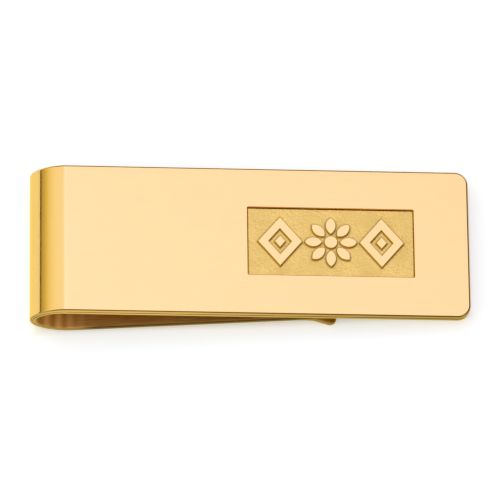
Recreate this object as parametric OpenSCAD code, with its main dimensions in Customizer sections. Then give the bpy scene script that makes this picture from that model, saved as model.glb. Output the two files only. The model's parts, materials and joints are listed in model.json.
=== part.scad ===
// Folded spring-strip money clip with a textured inlay panel and three raised motifs.
//
// The clip is drawn with its front face level at height 0 and the outside of its fold at x = 0,
// then laid down as it rests on a table: on the back of the fold and on the tip of the lip.
// A "heading" is the direction in which the strip's outer surface turns: 0 along the front face
// towards the fold, 90 straight down at the nose of the fold, 180 back along the leg.

/* [Clip] */
// Overall length, from the nose of the fold to the free end of the front
clip_len = 53; // [50:0.5:60]
// Width of the strip
clip_w = 19; // [17:0.5:24]
// Height over the fold, square to the front face
fold_h = 6.65; // [6.4:0.05:7.2]
// Radius of the two corners at the free end of the front
corner_r = 1.6; // [0.8:0.1:3]
// Thickness of the polished face plate
face_t = 0.69; // [0.65:0.01:0.8]
// Thickness of the strip layer behind the face plate
backing_t = 0.69; // [0.65:0.01:0.8]

/* [Fold] */
// Outer radius where the front turns into the fold
shoulder_r = 4.8; // [4.5:0.1:5]
// Outer radius at the nose of the fold
nose_r = 2.4; // [2.2:0.1:2.5]
// Metal left where the shoulder meets the nose
shoulder_t = 0.85; // [0.8:0.05:1]
// Metal left where the nose meets the heel
heel_t = 0.69; // [0.65:0.01:0.75]

/* [Spring leg] */
// Thickness of the leg
leg_t = 0.69; // [0.6:0.01:0.75]
// Angle at which the leg rises towards the front
leg_angle = 9.4; // [9:0.1:9.6]
// Length of the stretch that presses on the notes
grip_len = 0.7; // [0.4:0.1:1.5]
// Clearance left between the leg and the back of the front
grip_gap = 0.08; // [0.03:0.01:0.2]
// Radius of the bend into the lip
lip_r = 1.8; // [1.4:0.1:3]
// Angle by which the lip turns away from the front
lip_angle = 34; // [25:1:40]
// Straight length of the lip
lip_len = 2.8; // [1.8:0.1:3]
// Radius of the lip's two corners
lip_corner_r = 0.9; // [0.8:0.1:2]

/* [Inlay panel] */
// Length of the panel's window
panel_len = 20.15; // [18:0.05:22]
// Width of the panel's window
panel_w = 8.85; // [8:0.05:10]
// Distance from the window to the free end of the front
panel_margin = 6.7; // [5:0.05:8]
// Depth of the panel's ground below the front face
panel_depth = 0.35; // [0.2:0.05:0.45]
// Fitting gap round the panel
panel_gap = 0.06; // [0.04:0.01:0.1]

/* [Motifs] */
// Height of the motifs, across the clip
motif_h = 6.4; // [5.5:0.1:7]
// Length of a lozenge, along the clip
lozenge_len = 5.4; // [5:0.1:5.8]
// Width of the lozenge's frame
lozenge_rim = 1; // [0.7:0.05:1.1]
// Width of a petal as a share of its length
petal_share = 0.58; // [0.4:0.02:0.6]
// Number of petals of the rosette
petals = 8; // [6:1:8]
// Distance between neighbouring motifs' centres
motif_pitch = 6.15; // [6:0.05:6.5]

/* [Hidden] */

$fn = 96;
gold = [0.83, 0.66, 0.33];
dark_gold = [0.72, 0.55, 0.27];

plate_t = face_t + backing_t;
shoulder_end = 60;              // heading where the shoulder ends and the nose starts
nose_end = 146;                 // heading where the nose ends and the heel starts
leg_heading = 180 + leg_angle;  // heading of the straight part of the leg
approach_r = 6;                 // radius of the slow bend that brings the leg level
fold_steps = 52;
approach_steps = 4;
lip_steps = 10;

// Unit vector out of the strip's outer surface
function outward(heading) = [-sin(heading), cos(heading)];
// Point of the outer surface on a bend about c that closes the fold
function closing(c, r, heading) = c + r * outward(heading);
// Point of the outer surface on a bend about c that turns the leg away again
function opening(c, r, heading) = c - r * outward(heading);

// Centres of the fold's three bends, in the plane of length and height
shoulder_c = [shoulder_r * sin(shoulder_end) + nose_r * (1 - sin(shoulder_end)), -shoulder_r];
nose_c = closing(shoulder_c, shoulder_r - nose_r, shoulder_end);
heel_r = (fold_h + nose_c.y + nose_r * cos(nose_end)) / (1 + cos(nose_end));
heel_c = closing(nose_c, nose_r - heel_r, nose_end);
heel_end = closing(heel_c, heel_r, leg_heading);

// The leg runs straight until its inner surface comes level, one gap below the front
grip_z = -plate_t - grip_gap - leg_t;
straight_len = (grip_z - heel_end.y - approach_r * (1 - cos(leg_angle))) / sin(leg_angle);
approach_start = heel_end + straight_len * [cos(leg_angle), sin(leg_angle)];
approach_c = approach_start + approach_r * outward(leg_heading);
lip_c = [approach_c.x + grip_len, grip_z - lip_r];
lip_heading = 180 - lip_angle;
lip_start = opening(lip_c, lip_r, lip_heading);
lip_tip = lip_start + lip_len * [cos(lip_angle), -sin(lip_angle)];
lip_end_x = lip_tip.x + leg_t * sin(lip_angle);

// Stations along the strip: [point of the outer surface, heading, thickness]
thinning = [[0, plate_t], [shoulder_end, shoulder_t], [nose_end, heel_t], [leg_heading, leg_t]];
function fold_surface(h) =
    h < shoulder_end ? closing(shoulder_c, shoulder_r, h)
    : h < nose_end ? closing(nose_c, nose_r, h)
    : closing(heel_c, heel_r, h);
fold_stations = [for (i = [0 : fold_steps]) let (h = leg_heading * i / fold_steps)
    [fold_surface(h), h, lookup(h, thinning)]];
leg_stations = concat(
    [[heel_end, leg_heading, leg_t]],
    [for (i = [0 : approach_steps]) let (h = leg_heading - leg_angle * i / approach_steps)
        [opening(approach_c, approach_r, h), h, leg_t]],
    [for (i = [0 : lip_steps]) let (h = 180 - lip_angle * i / lip_steps)
        [opening(lip_c, lip_r, h), h, leg_t]],
    [[lip_tip, lip_heading, leg_t]]);

// The clip lies on the line that touches the heel and the tip of the lip
tip_from_heel = lip_tip - heel_c;
lie_angle = atan2(tip_from_heel.y, tip_from_heel.x) + asin(heel_r / norm(tip_from_heel));
function laid_x(p) = p.x * cos(lie_angle) + p.y * sin(lie_angle);
function laid_z(p) = p.y * cos(lie_angle) - p.x * sin(lie_angle);
middle_x = (laid_x(nose_c) - nose_r + laid_x([clip_len, 0])) / 2;
table_z = laid_z(heel_c) - heel_r;

panel_x = clip_len - panel_margin - panel_len / 2;
inlay_t = face_t - panel_depth;

// Lays the drawn clip down as it rests, with the origin under its middle
module lying() {
    translate([-middle_x, 0, -table_z]) rotate([0, lie_angle, 0]) children();
}

// Turns a drawing in length and height into a strip as wide as the clip
module strip_wide() {
    translate([0, clip_w / 2, 0]) rotate([90, 0, 0]) linear_extrude(clip_w) children();
}

// Section of the strip through its stations: the outer surface out, the inner surface back
module strip_section(stations) {
    last = len(stations) - 1;
    polygon(concat(
        [for (s = stations) s[0]],
        [for (i = [last : -1 : 0]) stations[i][0] - stations[i][2] * outward(stations[i][1])]));
}

// Plan of a strip with square corners at x0 and rounded ones at x1
module plan(x0, x1, r) {
    translate([x0, -clip_w / 2]) square([x1 - r - x0, clip_w]);
    translate([x1 - r, r - clip_w / 2]) square([r, clip_w - 2 * r]);
    for (side = [-1, 1]) translate([x1 - r, side * (clip_w / 2 - r)]) circle(r);
}

module panel_plan(gap) {
    square([panel_len - 2 * gap, panel_w - 2 * gap], center = true);
}

module lozenge(length, height) {
    polygon([[-length / 2, 0], [0, -height / 2], [length / 2, 0], [0, height / 2]]);
}

// Open lozenge with a small solid one inside it
module lozenge_motif() {
    inner = 1 - 2 * lozenge_rim / (motif_h * sin(atan2(lozenge_len, motif_h)));
    difference() {
        lozenge(lozenge_len, motif_h);
        lozenge(inner * lozenge_len, inner * motif_h);
    }
    lozenge(lozenge_len / 4, motif_h / 4);
}

// Pointed petal, the overlap of two circles, from the origin outwards along x
module petal(length, width) {
    r = (pow(length, 2) + pow(width, 2)) / (4 * width);
    intersection() {
        translate([length / 2, r - width / 2]) circle(r);
        translate([length / 2, width / 2 - r]) circle(r);
    }
}

// Open flower: petals round a button, which stays clear of their tips
module rosette() {
    button_r = motif_h / 8;
    button_gap = 0.25;
    petal_start = button_r + button_gap;
    petal_len = motif_h / 2 - petal_start;
    circle(button_r);
    for (i = [0 : petals - 1]) {
        rotate(90 + i * 360 / petals) translate([petal_start, 0]) {
            petal(petal_len, petal_len * petal_share);
        }
    }
}

// Stands a motif on the panel's ground, level with the front face
module raised(step) {
    translate([panel_x + step * motif_pitch, 0, -panel_depth]) {
        linear_extrude(panel_depth) children();
    }
}

module face_plate() {
    color(gold) lying() translate([0, 0, -face_t]) linear_extrude(face_t) difference() {
        plan(shoulder_c.x, clip_len, corner_r);
        translate([panel_x, 0]) panel_plan(0);
    }
}

module backing_strip() {
    color(gold) lying() translate([0, 0, -plate_t]) linear_extrude(backing_t) {
        plan(shoulder_c.x, clip_len, corner_r);
    }
}

module fold() {
    color(gold) lying() strip_wide() strip_section(fold_stations);
}

module spring_leg() {
    color(gold) lying() intersection() {
        strip_wide() strip_section(leg_stations);
        translate([0, 0, -fold_h - 1]) linear_extrude(fold_h + 1) {
            plan(heel_end.x - 1, lip_end_x, lip_corner_r);
        }
    }
}

module inlay_panel() {
    color(dark_gold) lying() translate([panel_x, 0, -face_t]) linear_extrude(inlay_t) {
        panel_plan(panel_gap);
    }
}

module motif_left() {
    color(gold) lying() raised(-1) lozenge_motif();
}

module motif_centre() {
    color(gold) lying() raised(0) rosette();
}

module motif_right() {
    color(gold) lying() raised(1) lozenge_motif();
}

face_plate();
backing_strip();
fold();
spring_leg();
inlay_panel();
motif_left();
motif_centre();
motif_right();
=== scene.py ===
"""Looks of the folded money clip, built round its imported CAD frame.

The shapes are worked out in the clip's own drawing frame, in millimetres: x runs from the nose of
the fold to the free end, y across the clip, z up from the front face. place() lays a point of that
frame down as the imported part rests, in metres.
"""

import json
import math

import bpy
import numpy as np
from mathutils import Matrix, Vector
from mathutils.geometry import tessellate_polygon


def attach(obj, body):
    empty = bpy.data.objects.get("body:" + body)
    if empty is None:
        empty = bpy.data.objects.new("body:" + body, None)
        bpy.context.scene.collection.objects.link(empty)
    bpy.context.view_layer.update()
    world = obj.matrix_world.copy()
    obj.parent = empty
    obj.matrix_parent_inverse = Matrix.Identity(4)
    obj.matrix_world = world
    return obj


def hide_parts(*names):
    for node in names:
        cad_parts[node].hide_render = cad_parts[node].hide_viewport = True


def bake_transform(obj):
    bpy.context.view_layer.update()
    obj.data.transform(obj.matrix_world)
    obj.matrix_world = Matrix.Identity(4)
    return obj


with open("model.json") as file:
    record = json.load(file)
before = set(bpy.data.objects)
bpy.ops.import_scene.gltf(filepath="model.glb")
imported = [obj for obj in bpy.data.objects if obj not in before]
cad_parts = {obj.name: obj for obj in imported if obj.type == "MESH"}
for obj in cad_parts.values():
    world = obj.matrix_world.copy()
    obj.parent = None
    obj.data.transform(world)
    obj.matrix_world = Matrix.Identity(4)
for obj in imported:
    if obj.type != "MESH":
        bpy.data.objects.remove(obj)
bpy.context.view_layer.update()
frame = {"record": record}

# Driving sizes, the same as in the CAD source, in millimetres and degrees
CLIP_LEN = 53.0
CLIP_W = 19.0
FOLD_H = 6.65
CORNER_R = 1.6
FACE_T = 0.69
PLATE_T = 1.38
SHOULDER_R = 4.8
SHOULDER_END = 60.0
SHOULDER_T = 0.85
NOSE_R = 2.4
NOSE_END = 146.0
HEEL_T = 0.69
LEG_T = 0.69
LEG_ANGLE = 9.4
APPROACH_R = 6.0
GRIP_LEN = 0.7
GRIP_GAP = 0.08
LIP_R = 1.8
LIP_ANGLE = 34.0
LIP_LEN = 2.8
LIP_CORNER_R = 0.9
PANEL_LEN = 20.15
PANEL_W = 8.85
PANEL_X = 36.225
PANEL_DEPTH = 0.35
MOTIF_H = 6.4
MOTIF_PITCH = 6.15
LOZENGE_LEN = 5.4
LOZENGE_RIM = 1.0
PETALS = 8
PETAL_SHARE = 0.58
BUTTON_GAP = 0.25

# Edge work, in millimetres
ARRIS_R = 0.24
STRIP_EDGE_SHARE = 0.34
SEAM_R = 0.12
WINDOW_R = 0.07
WINDOW_CORNER_R = 0.12
MOTIF_EDGE_R = 0.07
MOTIF_SINK = 0.04
PANEL_GAP_LEFT = 0.03

# How finely curves are divided, and how sharp a corner still looks smooth
EDGE_STEPS = 5
FINE_EDGE_STEPS = 3
MOTIF_EDGE_STEPS = 4
FOLD_STEPS = 63
LEG_STEPS = 8
APPROACH_STEPS = 4
LIP_STEPS = 12
SIDE_STEPS = 8
CORNER_STEPS = 16
LIP_CORNER_STEPS = 8
PETAL_STEPS = 12
BUTTON_STEPS = 40
SMOOTH_TURN = math.radians(35)
# Triangles of less area than this, in square millimetres, are left out
SLIVER = 1e-9

# Darkening, 0 to 1: painted shade on the cut edges for the dark things they reflect, less of it on
# the lip; tarnish in the seam, where the buffing wheel never reaches; darker wall feet and ground by
# the window
PAINTED_SIDE_SHADE = 0.38
PAINTED_SIDE_SHADE_FAR = 0.62
PAINTED_ARRIS_SHADE = 0.3
SEAM_SOIL = 0.8
PAINTED_HEEL_SHADE = 0.62
PAINTED_LEG_SHADE = 1.0
FOOT_DARKENING = 0.1
WINDOW_DARKENING = 0.6
LIP_SHADE_SHARE = 0.7

# Where painted edge shade, seam tarnish and dullness change: stretches of the clip's length, and
# headings round the fold
LIP_BUFFED = (31.5, 33.0)
BEND_TO_LEG = (4.0, 6.5)
HEEL_TO_LEG = (4.5, 8.5)
ALONG_SIDE = (15.0, 45.0)
ROUND_FOLD = (20.0, 130.0)
SEAM_RUNS_OUT = (60.0, 130.0)
SEAM_TRACE = 0.05


# ---------------------------------------------------------------- where the drawing frame lies

# How far along the clip the mount on its face lies, in millimetres
FACE_MARK_X = 14.0


def mount(name):
    """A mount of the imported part, by name."""
    return next(m for m in frame["record"]["mounts"] if m["name"] == name)


FACE_UP = Vector(mount("front_face")["axis"]).normalized()
FACE_ALONG = Vector((FACE_UP.z, 0.0, -FACE_UP.x))
NOSE_LEVEL = Vector(mount("front_face")["pos_m"]) - FACE_ALONG * FACE_MARK_X / 1000


def place(x, y, z):
    """A point of the drawing frame, in millimetres, as a point of the row frame, in metres."""
    across = Vector((0.0, y, 0.0))
    return NOSE_LEVEL + (FACE_ALONG * x + across + FACE_UP * z) / 1000


def turn(n):
    """A direction of the drawing frame in the row frame."""
    return FACE_ALONG * n[0] + Vector((0.0, n[1], 0.0)) + FACE_UP * n[2]


# ---------------------------------------------------------------- outlines


def arc(centre, radius, start, end, steps):
    """Points of an arc, both ends included, angles in degrees."""
    angles = np.radians(np.linspace(start, end, steps + 1))
    return [(centre[0] + radius * math.cos(a), centre[1] + radius * math.sin(a)) for a in angles]


def edge_normal(a, b):
    """Out of the material, square to the edge from a to b."""
    d = np.subtract(b, a)
    return np.array([d[1], -d[0]]) / np.linalg.norm(d)


class Outline:
    """A closed outline with material on its left: what each corner and each edge faces."""

    def __init__(self, points, flat_end=False):
        self.flat_end = flat_end
        self.points = np.array(points, float)
        count = len(self.points)
        edges = [edge_normal(self.points[i], self.points[(i + 1) % count]) for i in range(count)]
        self.mitres = []
        self.edge_ends = []
        corners = []
        for i in range(count):
            before, after = edges[i - 1], edges[i]
            middle = before + after
            self.mitres.append(middle / (1 + before @ after))
            turned = math.acos(max(-1.0, min(1.0, before @ after)))
            smooth = turned < SMOOTH_TURN
            corners.append(middle / np.linalg.norm(middle) if smooth else None)
        for i in range(count):
            start, end = corners[i], corners[(i + 1) % count]
            first = edges[i] if start is None else start
            last = edges[i] if end is None else end
            self.edge_ends.append((first, last))
        if flat_end:
            # The last edge butts against a neighbour, so it keeps its place along the clip
            self.mitres[0] = np.array([0.0, -1.0])
            self.mitres[-1] = np.array([0.0, 1.0])

    def inset(self, i, distance):
        return self.points[i] - distance * self.mitres[i]


# ---------------------------------------------------------------- slabs


def profile(thickness, outer_r, inner_r, steps=EDGE_STEPS):
    """Edge of a slab from its outer to its inner surface: (inset, depth, angle from outwards)."""
    rows = []
    for k in range(steps + 1):
        a = math.pi / 2 * k / steps
        rows.append((outer_r * (1 - math.sin(a)), outer_r * (1 - math.cos(a)), a))
    if inner_r == 0:
        rows.append((0.0, thickness, math.pi / 2))
        return rows
    for k in range(steps + 1):
        a = math.pi / 2 * (1 + k / steps)
        rows.append((inner_r * (1 - math.sin(a)), thickness - inner_r * (1 + math.cos(a)), a))
    return rows


class Slab:
    """Vertices, faces and normals of slabs with worked edges, put where spot() says."""

    def __init__(self, spot, facing):
        self.spot = spot
        self.facing = facing
        self.points = []
        self.faces = []
        self.normals = []
        self.darkness = []
        self.inside = []

    def rim(self, outline, edge, darkening):
        """The worked edge round an outline; returns its outer and inner loops of (number, u, v).

        edge() gives a point's profile; darkening() gives how dark it is painted there, from u, share
        of depth and angle.
        """
        profiles = [edge(point) for point in outline.points]
        rings = []
        for row in range(len(profiles[0])):
            ring = []
            for at, rows in enumerate(profiles):
                inset, depth, angle = rows[row]
                u, v = outline.inset(at, inset)
                ring.append((len(self.points), u, v))
                self.points.append(self.spot(u, v, depth))
                self.darkness.append(darkening(u, depth / rows[-1][1], angle))
                self.inside.append(max(0.0, -math.cos(angle)))
            rings.append(ring)
        for row in range(len(rings) - 1):
            for at in range(len(outline.points)):
                self.wall(outline, profiles, rings, row, at)
        return rings[0], rings[-1]

    def wall(self, outline, profiles, rings, row, at):
        """One face of the worked edge, with the normals of the curve it stands for."""
        after = (at + 1) % len(outline.points)
        start, end = outline.edge_ends[at]
        corners = ((row, at, start), (row + 1, at, start), (row + 1, after, end), (row, after, end))
        butts = outline.flat_end and after == 0
        self.faces.append([rings[r][i][0] for r, i, _ in corners])
        normals = []
        for r, i, flat in corners:
            angle = math.pi / 2 if butts else profiles[i][r][2]
            local = (math.sin(angle) * flat[0], math.sin(angle) * flat[1], math.cos(angle))
            normals.append(self.facing(rings[r][i][1], local))
        self.normals.append(normals)

    def cap(self, loops, way):
        """Fills a flat surface inside the first loop, round the others; way is 1 outwards."""
        corners = [corner for loop in loops for corner in loop]
        flat = [[Vector((u, v, 0.0)) for _, u, v in loop] for loop in loops]
        for tri in tessellate_polygon(flat):
            a, b, c = (Vector(corners[i][1:]) for i in tri)
            area = (b - a).cross(c - a)
            if abs(area) < SLIVER:
                continue
            if area * way < 0:
                tri = tri[::-1]
            self.add([corners[i] for i in tri], way)

    def across(self, ring, way):
        """Fills a bent surface with bands from one side of the strip to the other."""
        last = len(ring) - 1
        for j in range(len(ring) // 2 - 1):
            band = [ring[i] for i in (j, j + 1, last - 1 - j, last - j)]
            self.add(band[::way], way)

    def add(self, corners, way):
        self.faces.append([number for number, _, _ in corners])
        self.normals.append([self.facing(u, (0.0, 0.0, way)) for _, u, _ in corners])

    def mesh(self, name):
        mesh = bpy.data.meshes.new(name)
        mesh.from_pydata([place(*p) for p in self.points], [], self.faces)
        mesh.polygons.foreach_set("use_smooth", [True] * len(self.faces))
        turned = [turn(n).normalized() for face in self.normals for n in face]
        mesh.normals_split_custom_set(turned)
        for attribute, values in (("darkness", self.darkness), ("inside", self.inside)):
            layer = mesh.attributes.new(attribute, "FLOAT", "POINT")
            layer.data.foreach_set("value", values)
        mesh.update()
        return mesh


def piece(name, mesh, material):
    """A visible piece of one material."""
    shown = bpy.data.objects.new(name, mesh)
    bpy.context.scene.collection.objects.link(shown)
    mesh.materials.append(material)
    return shown


# ---------------------------------------------------------------- the spring strip


def outward(heading):
    """Out of the strip's outer surface, as (x, z)."""
    a = math.radians(heading)
    return np.array([-math.sin(a), math.cos(a)])


def travel(heading):
    """Along the strip, from the front towards the lip, as (x, z)."""
    a = math.radians(heading)
    return np.array([-math.cos(a), -math.sin(a)])


def strip_stations():
    """(outer point, heading, thickness) from the front's end round the fold to the lip's tip."""
    nose_share = math.sin(math.radians(SHOULDER_END))
    shoulder_c = np.array([SHOULDER_R * nose_share + NOSE_R * (1 - nose_share), -SHOULDER_R])
    nose_c = shoulder_c + (SHOULDER_R - NOSE_R) * outward(SHOULDER_END)
    nose_cos = math.cos(math.radians(NOSE_END))
    heel_r = (FOLD_H + nose_c[1] + NOSE_R * nose_cos) / (1 + nose_cos)
    heel_c = nose_c + (NOSE_R - heel_r) * outward(NOSE_END)
    leg_heading = 180 + LEG_ANGLE
    thinning = ([0, SHOULDER_END, NOSE_END, leg_heading], [PLATE_T, SHOULDER_T, HEEL_T, LEG_T])
    stations = []
    for h in np.linspace(0, leg_heading, FOLD_STEPS + 1):
        if h < SHOULDER_END:
            p = shoulder_c + SHOULDER_R * outward(h)
        elif h < NOSE_END:
            p = nose_c + NOSE_R * outward(h)
        else:
            p = heel_c + heel_r * outward(h)
        stations.append((p, h, float(np.interp(h, *thinning))))
    heel_end = stations[-1][0]
    grip_z = -PLATE_T - GRIP_GAP - LEG_T
    rise = math.radians(LEG_ANGLE)
    straight = grip_z - heel_end[1] - APPROACH_R * (1 - math.cos(rise))
    straight_len = straight / math.sin(rise)
    for share in np.linspace(0, 1, LEG_STEPS + 1)[1:]:
        stations.append((heel_end + share * straight_len * travel(leg_heading), leg_heading, LEG_T))
    approach_c = stations[-1][0] + APPROACH_R * outward(leg_heading)
    for h in np.linspace(leg_heading, 180, APPROACH_STEPS + 1)[1:]:
        stations.append((approach_c - APPROACH_R * outward(h), h, LEG_T))
    lip_c = np.array([approach_c[0] + GRIP_LEN, grip_z - LIP_R])
    for h in np.linspace(180, 180 - LIP_ANGLE, LIP_STEPS + 1):
        stations.append((lip_c - LIP_R * outward(h), h, LEG_T))
    tip = stations[-1][0] + LIP_LEN * travel(180 - LIP_ANGLE)
    stations.append((tip, 180 - LIP_ANGLE, LEG_T))
    return shoulder_c[0], stations


SEAM_X, STATIONS = strip_stations()
STATION_U = np.concatenate([[0.0], np.cumsum([
    np.linalg.norm(b[0] - a[0]) for a, b in zip(STATIONS, STATIONS[1:])])])


def on_strip(u):
    """Outer point, heading and thickness at a distance along the strip."""
    rows = [(point[0], point[1], heading, thick) for point, heading, thick in STATIONS]
    x, z, heading, thick = (float(np.interp(u, STATION_U, column)) for column in zip(*rows))
    return np.array([x, z]), heading, thick


def strip_spot(u, v, depth):
    """A point this far along, across and below the strip's outer surface."""
    p, h, _ = on_strip(u)
    x, z = p - depth * outward(h)
    return x, -v, z


def strip_facing(u, local):
    """A direction given along, across and out of the strip, turned as the strip is there."""
    _, h, _ = on_strip(u)
    x, z = local[0] * travel(h) + local[2] * outward(h)
    return x, -local[1], z


def seam_left(heading):
    """How deep the seam of the front still is, where it runs out round the fold."""
    return float(np.interp(heading, SEAM_RUNS_OUT, (1.0, SEAM_TRACE)))


def strip_edge(point):
    """Worked edge of the strip, nearly half round where the metal is thin, with the seam in it."""
    _, heading, thickness = on_strip(point[0])
    r = min(ARRIS_R, STRIP_EDGE_SHARE * thickness)
    rows = profile(thickness, r, r)
    half = len(rows) // 2
    groove = SEAM_R * seam_left(heading)
    middle = thickness / 2
    seam = [(0.0, middle - groove), (groove, middle), (0.0, middle + groove)]
    return rows[:half] + [(inset, depth, math.pi / 2) for inset, depth in seam] + rows[half:]


def hidden(point):
    """1 deep in the clip, falling to 0 on the lip, which the buffing wheel reaches; it also lessens
    the painted edge shade there.
    """
    return float(np.interp(point[0], LIP_BUFFED, (1.0, 0.0)))


def inside_dullness(point):
    """Dullness of the inner surface along the clip: 1 on the leg, 2 in the bend, 0 on the lip."""
    return hidden(point) * float(np.interp(point[0], BEND_TO_LEG, (2.0, 1.0)))


def painted_arris_shade(angle, side):
    """Painted shade on a rounded edge, for the dark things it reflects: from none on the flats to the
    most on its outer shoulder.
    """
    return side * math.sin(angle) + PAINTED_ARRIS_SHADE * max(0.0, math.sin(2 * angle))


def edge_shade_and_tarnish(u, share, angle):
    """Painted shade on the strip's cut edges, for the dark things they reflect, growing round the
    fold and full on the leg, with tarnish in the seam.
    """
    point, heading, _ = on_strip(u)
    bare = float(np.interp(heading, ROUND_FOLD, (PAINTED_SIDE_SHADE, PAINTED_HEEL_SHADE)))
    # Painted shade: the leg's cut edge is darkened fully, for the shaded table it reflects
    on_leg = float(np.interp(point[0], HEEL_TO_LEG, (0.0, PAINTED_LEG_SHADE)))
    darkening = max(painted_arris_shade(angle, bare), on_leg * min(1.0, 3 * math.sin(angle)))
    in_seam = abs(share - 0.5) < 1e-6
    if in_seam:
        darkening += SEAM_SOIL * seam_left(heading)
    return darkening * (LIP_SHADE_SHARE + (1 - LIP_SHADE_SHARE) * hidden(point))


def spring_strip(material):
    """The fold, the leg and the lip: one bent strip with worked edges."""
    corner_u = STATION_U[-1] - LIP_CORNER_R
    half = CLIP_W / 2
    straight = [(u, -half) for u in STATION_U if u < corner_u]
    corner = arc((corner_u, LIP_CORNER_R - half), LIP_CORNER_R, -90, 0, LIP_CORNER_STEPS)
    right = straight + corner
    left = [(u, -v) for u, v in reversed(right)]
    outline = Outline(right + left, flat_end=True)

    slab = Slab(strip_spot, strip_facing)
    outer, inner = slab.rim(outline, strip_edge, edge_shade_and_tarnish)
    slab.across(outer, 1)
    slab.across(inner, -1)
    slab.inside = [dull * inside_dullness(point) for dull, point in zip(slab.inside, slab.points)]
    strip = piece("spring_strip", slab.mesh("spring_strip"), material)
    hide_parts("fold", "spring_leg")
    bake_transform(strip)
    return strip


# ---------------------------------------------------------------- the front


def level_spot(height):
    """Puts a slab's outer surface level, at this height."""
    return lambda u, v, depth: (u, v, height - depth)


def level_facing(u, local):
    return local


def foot_darkening(u, share, angle):
    """Darker down a wall, to its foot."""
    return FOOT_DARKENING * share


def painted_side_shade(x):
    """Painted shade on the front's cut edges, which grows towards the free end."""
    return float(np.interp(x, ALONG_SIDE, (PAINTED_SIDE_SHADE, PAINTED_SIDE_SHADE_FAR)))


def face_edge_shade_and_tarnish(u, share, angle):
    """Painted shade on the face plate's cut edge, with tarnish thicker in the seam below it."""
    if angle <= math.pi / 2:
        return painted_arris_shade(angle, painted_side_shade(u))
    return painted_side_shade(u) - SEAM_SOIL * math.cos(angle)


def backing_edge_shade_and_tarnish(u, share, angle):
    """Painted shade on the backing's cut edge, with tarnish thicker in the seam above it."""
    if angle <= math.pi / 2:
        return painted_side_shade(u) + SEAM_SOIL * math.cos(angle)
    return painted_side_shade(u) * math.sin(angle)


def front_outline():
    """Plan of the front, from where the fold starts to the rounded free end."""
    half = CLIP_W / 2
    corner_x = CLIP_LEN - CORNER_R
    along = [(x, -half) for x in np.linspace(SEAM_X, corner_x, SIDE_STEPS + 1)[:-1]]
    corner = arc((corner_x, CORNER_R - half), CORNER_R, -90, 0, CORNER_STEPS)
    right = along + corner
    left = [(x, -y) for x, y in reversed(right)]
    return Outline(right + left, flat_end=True)


def window_outline():
    """The panel's window, turned so that the plate lies on its left."""
    points = []
    r = WINDOW_CORNER_R
    length, width = PANEL_LEN / 2 - r, PANEL_W / 2 - r
    for quarter, (side, end) in enumerate(((1, 1), (-1, 1), (-1, -1), (1, -1))):
        start = 90 * quarter
        centre = (PANEL_X + side * length, end * width)
        points += arc(centre, r, start, start + 90, FINE_EDGE_STEPS)
    return Outline(points[::-1])


def face_shell(material):
    """The polished face plate with its window."""
    side = profile(FACE_T, ARRIS_R, SEAM_R)
    wall = profile(FACE_T, WINDOW_R, 0, FINE_EDGE_STEPS)
    slab = Slab(level_spot(0.0), level_facing)
    outer, inner = slab.rim(front_outline(), lambda p: side, face_edge_shade_and_tarnish)
    sill, foot = slab.rim(window_outline(), lambda p: wall, foot_darkening)
    slab.cap([outer, sill], 1)
    slab.cap([inner, foot], -1)
    shell = piece("face_shell", slab.mesh("face_shell"), material)
    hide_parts("face_plate")
    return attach(shell, "front")


def backing_shell(material):
    """The strip layer behind the face plate."""
    side = profile(PLATE_T - FACE_T, SEAM_R, ARRIS_R)
    slab = Slab(level_spot(-FACE_T), level_facing)
    outer, inner = slab.rim(front_outline(), lambda p: side, backing_edge_shade_and_tarnish)
    slab.cap([outer], 1)
    slab.cap([inner], -1)
    shell = piece("backing_shell", slab.mesh("backing_shell"), material)
    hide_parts("backing_strip")
    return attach(shell, "front")


# ---------------------------------------------------------------- ornaments


def lozenge(cx, length, height, hole=False):
    """A lozenge's outline, turned the other way round where it is a hole."""
    points = [(cx + length / 2, 0), (cx, height / 2), (cx - length / 2, 0), (cx, -height / 2)]
    return Outline(points[::-1] if hole else points)


def lozenge_loops(cx):
    """An open lozenge with a small solid one inside it."""
    shape_angle = math.atan2(LOZENGE_LEN, MOTIF_H)
    inner = 1 - 2 * LOZENGE_RIM / (MOTIF_H * math.sin(shape_angle))
    outer = lozenge(cx, LOZENGE_LEN, MOTIF_H)
    hole = lozenge(cx, inner * LOZENGE_LEN, inner * MOTIF_H, hole=True)
    small = lozenge(cx, LOZENGE_LEN / 4, MOTIF_H / 4)
    return [[outer, hole], [small]]


def petal_outline(cx, start, length, width, angle):
    """A pointed petal between two arcs, from its root outwards."""
    r = (length**2 + width**2) / (4 * width)
    reach = math.degrees(math.asin(length / 2 / r))
    middle = start + length / 2
    lower = arc((middle, r - width / 2), r, 270 - reach, 270 + reach, PETAL_STEPS)
    upper = arc((middle, width / 2 - r), r, 90 - reach, 90 + reach, PETAL_STEPS)
    a = math.radians(angle)
    turned = [(cx + x * math.cos(a) - y * math.sin(a), x * math.sin(a) + y * math.cos(a))
              for x, y in lower[:-1] + upper[:-1]]
    return Outline(turned)


def rosette_loops(cx):
    """Petals round a button, which stays clear of their tips."""
    button_r = MOTIF_H / 8
    start = button_r + BUTTON_GAP
    length = MOTIF_H / 2 - start
    loops = [[Outline(arc((cx, 0), button_r, 0, 360, BUTTON_STEPS)[:-1])]]
    for i in range(PETALS):
        angle = 90 + i * 360 / PETALS
        loops.append([petal_outline(cx, start, length, length * PETAL_SHARE, angle)])
    return loops


def ornament(name, node, groups, material):
    """Raised shapes level with the face, standing on the panel's ground."""
    slab = Slab(level_spot(0.0), level_facing)
    wall = profile(PANEL_DEPTH + MOTIF_SINK, MOTIF_EDGE_R, 0, MOTIF_EDGE_STEPS)
    for loops in groups:
        rims = [slab.rim(outline, lambda p: wall, foot_darkening) for outline in loops]
        slab.cap([outer for outer, _ in rims], 1)
        slab.cap([inner for _, inner in rims], -1)
    shown = piece(name, slab.mesh(name), material)
    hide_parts(node)
    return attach(shown, "front")


# ---------------------------------------------------------------- the inlay panel

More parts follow.
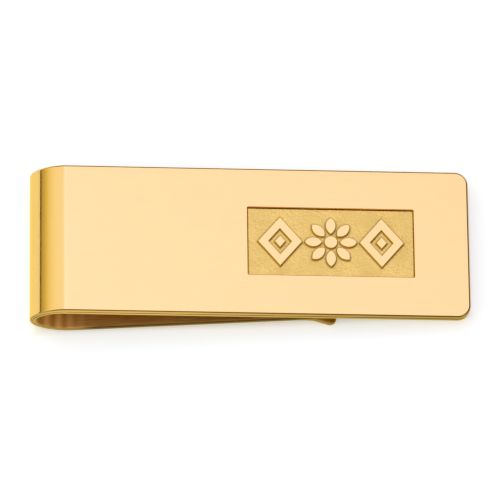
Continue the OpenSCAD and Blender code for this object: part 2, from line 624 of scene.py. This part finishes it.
GRAIN_CELL = 0.1
GRAIN_HEIGHT = 0.005
GRAIN_SEED = 20
DARKENING_REACH = 0.2


def rim_of_grid(columns, rows):
    """Numbers of a grid's outer points, in order round it."""
    step = rows + 1
    near = [c * step for c in range(columns)]
    right = [columns * step + r for r in range(rows)]
    far = [c * step + rows for c in range(columns, 0, -1)]
    return near + right + far + list(range(rows, 0, -1))


def distance_to(outlines, points):
    """Distance of each point from the nearest of the outlines."""
    nearest = np.full(len(points), np.inf)
    for outline in outlines:
        for a, b in zip(outline.points, np.roll(outline.points, -1, 0)):
            along = b - a
            share = np.clip((points - a) @ along / (along @ along), 0, 1)
            nearest = np.minimum(nearest, np.linalg.norm(points - a - share[:, None] * along, axis=1))
    return nearest


def inlay_ground(motifs, window, material):
    """The satin ground: a fine grid raised and sunk by its grain, closed below."""
    length, width = PANEL_LEN - 2 * PANEL_GAP_LEFT, PANEL_W - 2 * PANEL_GAP_LEFT
    columns, rows = round(length / GRAIN_CELL), round(width / GRAIN_CELL)
    xs = np.linspace(-length / 2, length / 2, columns + 1) + PANEL_X
    ys = np.linspace(-width / 2, width / 2, rows + 1)
    relief = np.random.default_rng(GRAIN_SEED).standard_normal((columns + 1, rows + 1))
    heights = -PANEL_DEPTH + GRAIN_HEIGHT * relief / relief.std()
    grid = np.array([(x, y) for x in xs for y in ys])
    points = [(x, y, z) for (x, y), z in zip(grid, heights.ravel())]
    step = rows + 1
    cells = [c * step + r for c in range(columns) for r in range(rows)]
    faces = [(i, i + step, i + step + 1, i + 1) for i in cells]
    rim = rim_of_grid(columns, rows)
    base, count = len(points), len(rim)
    points += [(points[i][0], points[i][1], -FACE_T) for i in rim]
    for j in range(count):
        after = (j + 1) % count
        faces.append((rim[j], base + j, base + after, rim[after]))
    faces.append(tuple(base + j for j in reversed(range(count))))
    mesh = bpy.data.meshes.new("inlay_ground")
    mesh.from_pydata([place(*p) for p in points], [], faces)
    mesh.polygons.foreach_set("use_smooth", [i < len(cells) for i in range(len(faces))])
    # Darker near the motifs and the window's edge, fading within about 0.2 mm
    at_motifs = np.exp(-distance_to(motifs, grid) / DARKENING_REACH)
    at_window = WINDOW_DARKENING * np.exp(-distance_to([window], grid) / DARKENING_REACH)
    darkening = np.concatenate([np.maximum(at_motifs, at_window), np.ones(count)])
    darkness = mesh.attributes.new("darkness", "FLOAT", "POINT")
    darkness.data.foreach_set("value", darkening)
    mesh.update()
    ground = piece("inlay_ground", mesh, material)
    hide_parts("inlay_panel")
    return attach(ground, "front")


# ---------------------------------------------------------------- materials


def math_node(nodes, links, operation, *values):
    """A Math node on sockets or constants."""
    node = nodes.new("ShaderNodeMath")
    node.operation = operation
    for socket, value in zip(node.inputs, values):
        if isinstance(value, float):
            socket.default_value = value
        else:
            links.new(value, socket)
    return node.outputs["Value"]


def soft_step(nodes, links, value, start, end):
    """A soft step from 0 at start to 1 at end."""
    node = nodes.new("ShaderNodeMapRange")
    node.interpolation_type = "SMOOTHSTEP"
    node.inputs["From Min"].default_value = start
    node.inputs["From Max"].default_value = end
    links.new(value, node.inputs["Value"])
    return node.outputs["Result"]


class Shader:
    """A material's node tree, with the object's own coordinates in metres."""

    def __init__(self, name):
        self.material = bpy.data.materials.new(name)
        self.material.use_nodes = True
        self.nodes = self.material.node_tree.nodes
        self.links = self.material.node_tree.links
        self.surface = self.nodes["Principled BSDF"]
        self.where = self.nodes.new("ShaderNodeTexCoord").outputs["Object"]

    def noise(self, size, detail=2.0, stretch=(1.0, 1.0, 1.0)):
        """Noise with features of about this size, in metres, before stretching."""
        mapping = self.nodes.new("ShaderNodeMapping")
        mapping.inputs["Scale"].default_value = stretch
        self.links.new(self.where, mapping.inputs["Vector"])
        texture = self.nodes.new("ShaderNodeTexNoise")
        texture.inputs["Scale"].default_value = 1 / size
        texture.inputs["Detail"].default_value = detail
        self.links.new(mapping.outputs["Vector"], texture.inputs["Vector"])
        return texture.outputs["Fac"]

    def between(self, factor, low, high, start=0.3, end=0.7):
        """A value from low to high as the factor goes from start to end, by default as noise does."""
        node = self.nodes.new("ShaderNodeMapRange")
        node.inputs["From Min"].default_value = start
        node.inputs["From Max"].default_value = end
        node.inputs["To Min"].default_value = low
        node.inputs["To Max"].default_value = high
        self.links.new(factor, node.inputs["Value"])
        return node.outputs["Result"]

    def math(self, operation, *values):
        return math_node(self.nodes, self.links, operation, *values)

    def mix(self, factor, a, b):
        node = self.nodes.new("ShaderNodeMix")
        node.data_type = "RGBA"
        self.links.new(factor, node.inputs["Factor"])
        for socket, colour in ((node.inputs["A"], a), (node.inputs["B"], b)):
            if isinstance(colour, tuple):
                socket.default_value = (*colour, 1.0)
            else:
                self.links.new(colour, socket)
        return node.outputs["Result"]

    def attribute(self, name):
        node = self.nodes.new("ShaderNodeAttribute")
        node.attribute_name = name
        return node.outputs["Fac"]

    def bump(self, height, distance, under=None):
        node = self.nodes.new("ShaderNodeBump")
        node.inputs["Strength"].default_value = 1.0
        node.inputs["Distance"].default_value = distance
        self.links.new(height, node.inputs["Height"])
        if under is not None:
            self.links.new(under, node.inputs["Normal"])
        return node.outputs["Normal"]

    def set(self, socket, value):
        if isinstance(value, (int, float, tuple)):
            self.surface.inputs[socket].default_value = value
        else:
            self.links.new(value, self.surface.inputs[socket])


# Colours of the polished gold: outside, inside, painted edge shade with seam tarnish and darker wall
# feet, painted reflection bands in the bend, and at a grazing angle
GOLD_LIGHT = (0.89, 0.57, 0.17)
GOLD_DEEP = (0.87, 0.55, 0.155)
GOLD_INSIDE = (0.84, 0.54, 0.16)
GOLD_INSIDE_DEEP = (0.6, 0.37, 0.09)
GOLD_SHADED_AND_TARNISHED = (0.17, 0.095, 0.016)
GOLD_BEND_PAINTED_BRIGHT = (1.0, 0.72, 0.27)
GOLD_BEND_PAINTED_DARK = (0.72, 0.44, 0.12)
GOLD_EDGE_TINT = (1.0, 0.95, 0.55, 1.0)
# Painted reflection bands inside the bend: how far apart, and where one of them lies along the clip,
# in metres
PAINTED_BAND_SPACING = 0.0014
PAINTED_BAND_AT = -0.02455
# Marks in the polished gold: sizes and height in metres, and scales that draw them out along x
GOLD_CLOUDS = 0.004
INSIDE_STREAKS = 0.00022
STREAK_STRETCH = (0.03, 1.0, 1.0)
BUFFING_MARKS = 0.0003
BUFFING_STRETCH = (0.08, 1.0, 1.0)
LACQUER_WAVES = 0.0009
MARK_HEIGHT = 2.5e-6
# How strong the buffing marks are, outside and inside the clip
BUFFING_DEPTH = (0.1, 3.0)
# Roughness over the marks and the clouds, and what the inside and the bend add to it
BUFFED_ROUGHNESS = (0.07, 0.12)
CLOUDED_ROUGHNESS = (0.0, 0.03)
INSIDE_DULLNESS = 0.36
BEND_DULLNESS = 0.3
LACQUER_WEIGHT = 0.06
LACQUER_ROUGHNESS = 0.05
# The satin ground: colours, sizes and height in metres, roughness over the grain and the patches
SATIN_LIGHT = (0.95, 0.665, 0.165)
SATIN_DEEP = (0.75, 0.485, 0.092)
SATIN_DARKENED = (0.33, 0.235, 0.035)
SATIN_GRAIN = 0.00014
SATIN_GRAIN_HEIGHT = 7e-6
SATIN_CLOUDS = 0.0022
SATIN_ROUGHNESS = (0.26, 0.4)
SATIN_PATCHES = (-0.04, 0.06)
# Where the darkness attribute starts to show, and where it is at its darkest
DARKENING_SHOWS = (0.15, 0.95)
# The table's faint clouds, in metres, and their two tones
TABLE_CLOUDS = 0.05
TABLE_DEEP = (0.77, 0.83, 0.72)
TABLE_LIGHT = (0.79, 0.85, 0.74)


def darkening_share(shader):
    """Share of darkening, from the darkness attribute: painted edge shade, seam tarnish, darker wall
    feet and ground near the motifs and window.
    """
    return soft_step(shader.nodes, shader.links, shader.attribute("darkness"), *DARKENING_SHOWS)


def painted_bend_reflections(shader):
    """Painted reflections: bright and dark bands across the clip inside the bend."""
    split = shader.nodes.new("ShaderNodeSeparateXYZ")
    shader.links.new(shader.where, split.inputs["Vector"])
    past = shader.math("SUBTRACT", split.outputs["X"], PAINTED_BAND_AT)
    wave = shader.math("COSINE", shader.math("MULTIPLY", past, math.tau / PAINTED_BAND_SPACING))
    return shader.between(wave, 0.0, 1.0, -1.0, 1.0)


def polished_gold():
    """Mirror-polished plate with faint buffing marks and a clear lacquer, duller inside the clip,
    with painted shade on its cut edges and painted reflection bands in the bend.
    """
    shader = Shader("polished_gold")
    clouds = shader.noise(GOLD_CLOUDS)
    tone = shader.mix(clouds, GOLD_DEEP, GOLD_LIGHT)
    inside = shader.attribute("inside")
    bend = shader.between(inside, 0.0, 1.0, 1.0, 2.0)
    streaks = shader.between(shader.noise(INSIDE_STREAKS, 3.0, STREAK_STRETCH), 0.0, 1.0)
    dull = shader.mix(streaks, GOLD_INSIDE_DEEP, GOLD_INSIDE)
    tone = shader.mix(inside, tone, dull)
    # Painted reflections: bright and dark bands across the bend
    tone = shader.mix(bend, tone, shader.mix(painted_bend_reflections(shader), GOLD_BEND_PAINTED_DARK, GOLD_BEND_PAINTED_BRIGHT))
    # Painted shade on the cut edges, seam tarnish and darker wall feet pull the tone towards a dark
    # gold
    shader.set("Base Color", shader.mix(darkening_share(shader), tone, GOLD_SHADED_AND_TARNISHED))
    shader.set("Metallic", 1.0)
    buffing = shader.noise(BUFFING_MARKS, 3.0, BUFFING_STRETCH)
    buffed = shader.between(buffing, *BUFFED_ROUGHNESS)
    polish = shader.math("ADD", buffed, shader.between(clouds, *CLOUDED_ROUGHNESS))
    polish = shader.math("ADD", polish, shader.between(inside, 0.0, INSIDE_DULLNESS, 0.0, 1.0))
    polish = shader.math("ADD", polish, shader.between(bend, 0.0, BEND_DULLNESS, 0.0, 1.0))
    shader.set("Roughness", polish)
    waves = shader.bump(shader.noise(LACQUER_WAVES, 1.0), MARK_HEIGHT)
    drawn = shader.math("MULTIPLY", buffing, shader.between(inside, *BUFFING_DEPTH, 0.0, 1.0))
    shader.set("Normal", shader.bump(drawn, MARK_HEIGHT, waves))
    shader.set("Specular Tint", GOLD_EDGE_TINT)
    shader.set("Coat Weight", LACQUER_WEIGHT)
    shader.set("Coat Roughness", LACQUER_ROUGHNESS)
    return shader.material


def satin_gold():
    """Fine matt grain with bright and dull patches, darker near the motifs and the window's edge."""
    shader = Shader("satin_gold")
    grain = shader.noise(SATIN_GRAIN)
    clouds = shader.noise(SATIN_CLOUDS, 3.0)
    fine = shader.mix(shader.between(grain, 0.0, 1.0), SATIN_DEEP, SATIN_LIGHT)
    shader.set("Base Color", shader.mix(darkening_share(shader), fine, SATIN_DARKENED))
    shader.set("Metallic", 1.0)
    rough = shader.between(grain, *SATIN_ROUGHNESS)
    shader.set("Roughness", shader.math("ADD", rough, shader.between(clouds, *SATIN_PATCHES)))
    shader.set("Normal", shader.bump(grain, SATIN_GRAIN_HEIGHT))
    return shader.material


def paper_white():
    """Matt white table that glows a little, but for a patch round the clip, where the missing glow
    paints a contact shadow.
    """
    shader = Shader("table")
    shader.set("Base Color", shader.mix(shader.noise(TABLE_CLOUDS), TABLE_DEEP, TABLE_LIGHT))
    shader.set("Roughness", 0.9)
    shader.set("Specular IOR Level", 0.0)
    split = shader.nodes.new("ShaderNodeSeparateXYZ")
    shader.links.new(shader.where, split.inputs["Vector"])
    x, y = split.outputs["X"], split.outputs["Y"]
    across = shader.math("ADD", shader.math("ABSOLUTE", y), shader.math("MULTIPLY", x, PAINTED_SHADOW_TAPER))
    # Painted contact shadow: the glow fades out round the patch under the clip
    beyond_painted_shadow = shader.between(across, 0.0, 1.0, *PAINTED_SHADOW_SIDE)
    for end in (PAINTED_SHADOW_RIGHT, PAINTED_SHADOW_LEFT):
        beyond_painted_shadow = shader.math("MAXIMUM", beyond_painted_shadow, shader.between(x, 0.0, 1.0, *end))
    shader.set("Emission Color", (1.0, 1.0, 1.0, 1.0))
    shader.set("Emission Strength", shader.math("MULTIPLY", beyond_painted_shadow, TABLE_GLOW))
    return shader.material


# ---------------------------------------------------------------- studio

TABLE_HALF = 2.0
TABLE_GLOW = 0.5
# Painted contact shadow: where the glow starts and is full, round the patch under the clip: it
# narrows to the right
PAINTED_SHADOW_TAPER = 0.03
PAINTED_SHADOW_SIDE = (0.0068, 0.0095)
PAINTED_SHADOW_RIGHT = (0.024, 0.027)
PAINTED_SHADOW_LEFT = (-0.0235, -0.0265)
SKY_STRENGTH = 1.5
# Colour of the room by height in the sky, as a share of the strength: warm and dark low down
SKY_STOPS = (
    (0.0, (0.16, 0.1, 0.02)),
    (0.17, (0.03, 0.02, 0.0)),
    (0.205, (0.02, 0.01, 0.0)),
    (0.245, (0.39, 0.35, 0.17)),
    (0.36, (0.43, 0.39, 0.17)),
    (0.45, (0.51, 0.48, 0.23)),
    (0.54, (0.62, 0.58, 0.35)),
    (0.65, (0.69, 0.67, 0.6)),
    (0.78, (0.74, 0.75, 0.82)),
    (0.9, (0.73, 0.78, 1.0)),
)
# The room in front, behind and to the right is dark further up
SIDE_FREE = 0.4
SIDE_DIM = 1.6
RIGHT_DIM = 1.15
# A white sweep carries the table's brightness a little above the horizon on the left
SWEEP_TOP = 0.148
SWEEP_EDGE_X = -0.5
SWEEP_COLOUR = (0.68, 0.68, 0.68)
# Four soft cards past the clip's corners, which the face reflects when seen from low down
CARD_BESIDE = (0.3, 0.6)
CARD_FRONT = (-0.2, -0.5)
CARD_BEHIND = (0.45, 0.65)
CARD_COLOUR = (0.55, 0.53, 0.4)
# The soft window that the face reflects: overhead, behind and a little to the right
WINDOW_SIDE = (-0.14, 0.02)
WINDOW_TOP = (0.84, 0.9)
WINDOW_RADIANCE = (0.16, 0.17, 0.9)


def table(material):
    mesh = bpy.data.meshes.new("table")
    corners = [(x * TABLE_HALF, y * TABLE_HALF, 0.0) for x, y in ((-1, -1), (1, -1), (1, 1), (-1, 1))]
    mesh.from_pydata(corners, [], [(0, 1, 2, 3)])
    top = bpy.data.objects.new("table", mesh)
    bpy.context.scene.collection.objects.link(top)
    mesh.materials.append(material)


def sky_mix(nodes, links, factor, under, over, blend="MIX"):
    """A colour over a colour socket, by a factor."""
    node = nodes.new("ShaderNodeMix")
    node.data_type = "RGBA"
    node.blend_type = blend
    links.new(factor, node.inputs["Factor"])
    links.new(under, node.inputs["A"])
    node.inputs["B"].default_value = (*over, 1.0)
    return node.outputs["Result"]


def room():
    """Soft light: dark low down but for a white sweep and four cards, with a window overhead."""
    world = bpy.data.worlds.new("room")
    world.use_nodes = True
    nodes, links = world.node_tree.nodes, world.node_tree.links
    background = nodes["Background"]
    background.inputs["Strength"].default_value = SKY_STRENGTH
    where = nodes.new("ShaderNodeTexCoord")
    split = nodes.new("ShaderNodeSeparateXYZ")
    links.new(where.outputs["Generated"], split.inputs["Vector"])

    def calc(operation, *values):
        return math_node(nodes, links, operation, *values)

    def step(value, limits):
        return soft_step(nodes, links, value, *limits)

    x, y, z = (split.outputs[axis] for axis in "XYZ")
    beside = calc("MAXIMUM", calc("SUBTRACT", calc("ABSOLUTE", y), SIDE_FREE), 0.0)
    right = calc("MAXIMUM", x, 0.0)
    dim = calc("ADD", calc("MULTIPLY", beside, SIDE_DIM), calc("MULTIPLY", right, RIGHT_DIM))
    height = calc("SUBTRACT", z, dim)
    ramp = nodes.new("ShaderNodeValToRGB")
    elements = ramp.color_ramp.elements
    while len(elements) < len(SKY_STOPS):
        elements.new(1.0)
    for element, (at, share) in zip(elements, SKY_STOPS):
        element.position = at
        element.color = (*share, 1.0)
    links.new(height, ramp.inputs["Fac"])
    low = calc("LESS_THAN", z, SWEEP_TOP)
    left = calc("LESS_THAN", x, SWEEP_EDGE_X)
    sky = sky_mix(nodes, links, calc("MULTIPLY", low, left), ramp.outputs["Color"], SWEEP_COLOUR)
    away = calc("MAXIMUM", step(y, CARD_FRONT), step(y, CARD_BEHIND))
    cards = calc("MULTIPLY", step(calc("ABSOLUTE", x), CARD_BESIDE), away)
    sky = sky_mix(nodes, links, cards, sky, CARD_COLOUR)
    window = calc("MULTIPLY", step(x, WINDOW_SIDE), step(z, WINDOW_TOP))
    sky = sky_mix(nodes, links, window, sky, WINDOW_RADIANCE, "ADD")
    links.new(sky, background.inputs["Color"])
    bpy.context.scene.world = world


# The viewpoint, measured against the drawing frame: leant towards the viewer and towards the fold
CAMERA_LEAN = math.radians(22.85)
CAMERA_YAW = math.radians(4.51)
CAMERA_ROLL = math.radians(0.692)
CAMERA_DISTANCE = 0.7717
CAMERA_LENS = 460.8
CAMERA_SIDESTEP = -0.000094
CAMERA_CLIMB = -0.00116
AIM_X = 26.5


def camera():
    """The photograph's viewpoint: from in front of the clip and well above it."""
    data = bpy.data.cameras.new("camera")
    data.lens = CAMERA_LENS
    data.sensor_width = 36.0
    seen = bpy.data.objects.new("camera", data)
    bpy.context.scene.collection.objects.link(seen)
    level = math.cos(CAMERA_LEAN)
    back = turn((-math.sin(CAMERA_YAW) * level, -math.sin(CAMERA_LEAN), math.cos(CAMERA_YAW) * level))
    right = Vector((0.0, 1.0, 0.0)).cross(back).normalized()
    up = back.cross(right)
    image_right = right * math.cos(CAMERA_ROLL) - up * math.sin(CAMERA_ROLL)
    image_up = up * math.cos(CAMERA_ROLL) + right * math.sin(CAMERA_ROLL)
    spot = place(AIM_X, 0.0, 0.0) + back * CAMERA_DISTANCE
    spot += right * CAMERA_SIDESTEP + up * CAMERA_CLIMB
    turned = Matrix((image_right, image_up, back)).transposed()
    seen.matrix_world = Matrix.Translation(spot) @ turned.to_4x4()
    bpy.context.scene.camera = seen


# ---------------------------------------------------------------- the scene


def main():
    polished, satin = polished_gold(), satin_gold()
    left = lozenge_loops(PANEL_X - MOTIF_PITCH)
    centre = rosette_loops(PANEL_X)
    right = lozenge_loops(PANEL_X + MOTIF_PITCH)
    spring_strip(polished)
    face_shell(polished)
    backing_shell(polished)
    ornament("ornament_left", "motif_left", left, polished)
    ornament("ornament_centre", "motif_centre", centre, polished)
    ornament("ornament_right", "motif_right", right, polished)
    motifs = [outline for group in left + centre + right for outline in group]
    inlay_ground(motifs, window_outline(), satin)
    table(paper_white())
    room()
    camera()
    bpy.context.scene.view_settings.view_transform = "Standard"


main()
